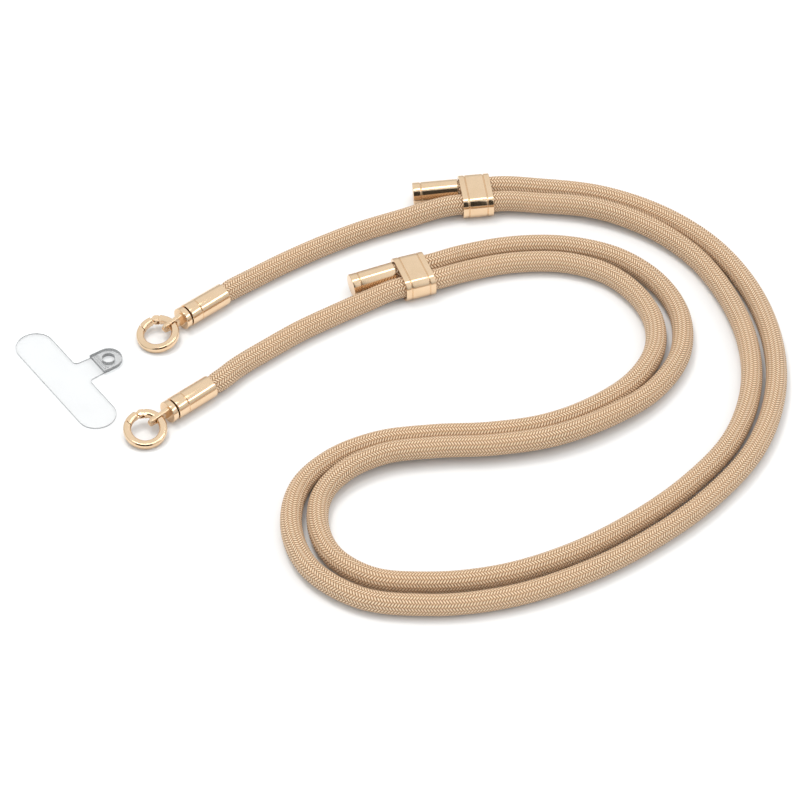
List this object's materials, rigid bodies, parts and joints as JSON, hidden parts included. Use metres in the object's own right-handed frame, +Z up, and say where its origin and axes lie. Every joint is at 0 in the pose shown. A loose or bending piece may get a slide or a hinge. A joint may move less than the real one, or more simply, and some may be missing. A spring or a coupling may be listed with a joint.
{
  "type": "phone crossbody strap",
  "caption": "Long braided-rope phone strap lying in a double loop, with metal sliders, end stops and swivel gate rings, and a clear T-shaped phone tab beside it.",
  "frame": {"origin": "middle of the footprint of the metal pieces and the tab, on the surface the strap lies on", "axes": "+Z up from the surface, +X from the rings' side towards the loops of rope, +Y away from a viewer who has the rings on the left and the lower ring nearer"},
  "size_m": [0.2905, 0.2289, 0.0101],
  "materials": {
    "rope": "tightly braided beige cord",
    "gold_metal": "polished pale gold plating",
    "clear_plastic": "clear, glossy"
  },
  "bodies": {
    "strap": {"rope_upper": "rope", "rope_lower": "rope", "cap_upper": "gold_metal", "cap_lower": "gold_metal", "slider_upper": "gold_metal", "slider_lower": "gold_metal", "stop_upper": "gold_metal", "stop_lower": "gold_metal", "phone_tab": "clear_plastic"},
    "connector_upper": {"connector_upper": "gold_metal"},
    "ring_upper": {"ring_upper": "gold_metal"},
    "gate_upper": {"gate_upper": "gold_metal"},
    "connector_lower": {"connector_lower": "gold_metal"},
    "ring_lower": {"ring_lower": "gold_metal"},
    "gate_lower": {"gate_lower": "gold_metal"}
  },
  "joints": [
    {"name": "swivel_upper", "type": "hinge", "parent": "strap", "child": "connector_upper", "pos_m": [-0.0269, -0.0041, 0.0044], "axis": [0.7547, 0.6561, 0], "continuous": true},
    {"name": "ring_swing_upper", "type": "hinge", "parent": "connector_upper", "child": "ring_upper", "pos_m": [-0.03233, -0.00882, 0.0044], "axis": [-0.6002, 0.7968, 0.0696], "range_deg": [-85, 110]},
    {"name": "gate_hinge_upper", "type": "hinge", "parent": "ring_upper", "child": "gate_upper", "pos_m": [-0.03866, -0.00616, 0.00409], "axis": [-0.1226, -0.1777, 0.9764], "range_deg": [0, 30], "stiffness_Nm_per_rad": 0.004, "springref_deg": -5.73},
    {"name": "swivel_lower", "type": "hinge", "parent": "strap", "child": "connector_lower", "pos_m": [-0.0303, -0.0541, 0.0044], "axis": [0.749, 0.6626, 0], "continuous": true},
    {"name": "ring_swing_lower", "type": "hinge", "parent": "connector_lower", "child": "ring_lower", "pos_m": [-0.03569, -0.05887, 0.0044], "axis": [-0.7217, 0.6579, 0.2153], "range_deg": [-85, 110]},
    {"name": "gate_hinge_lower", "type": "hinge", "parent": "ring_lower", "child": "gate_lower", "pos_m": [-0.04238, -0.05748, 0.00512], "axis": [0.0502, -0.2604, 0.9642], "range_deg": [0, 30], "stiffness_Nm_per_rad": 0.004, "springref_deg": -5.73}
  ]
}
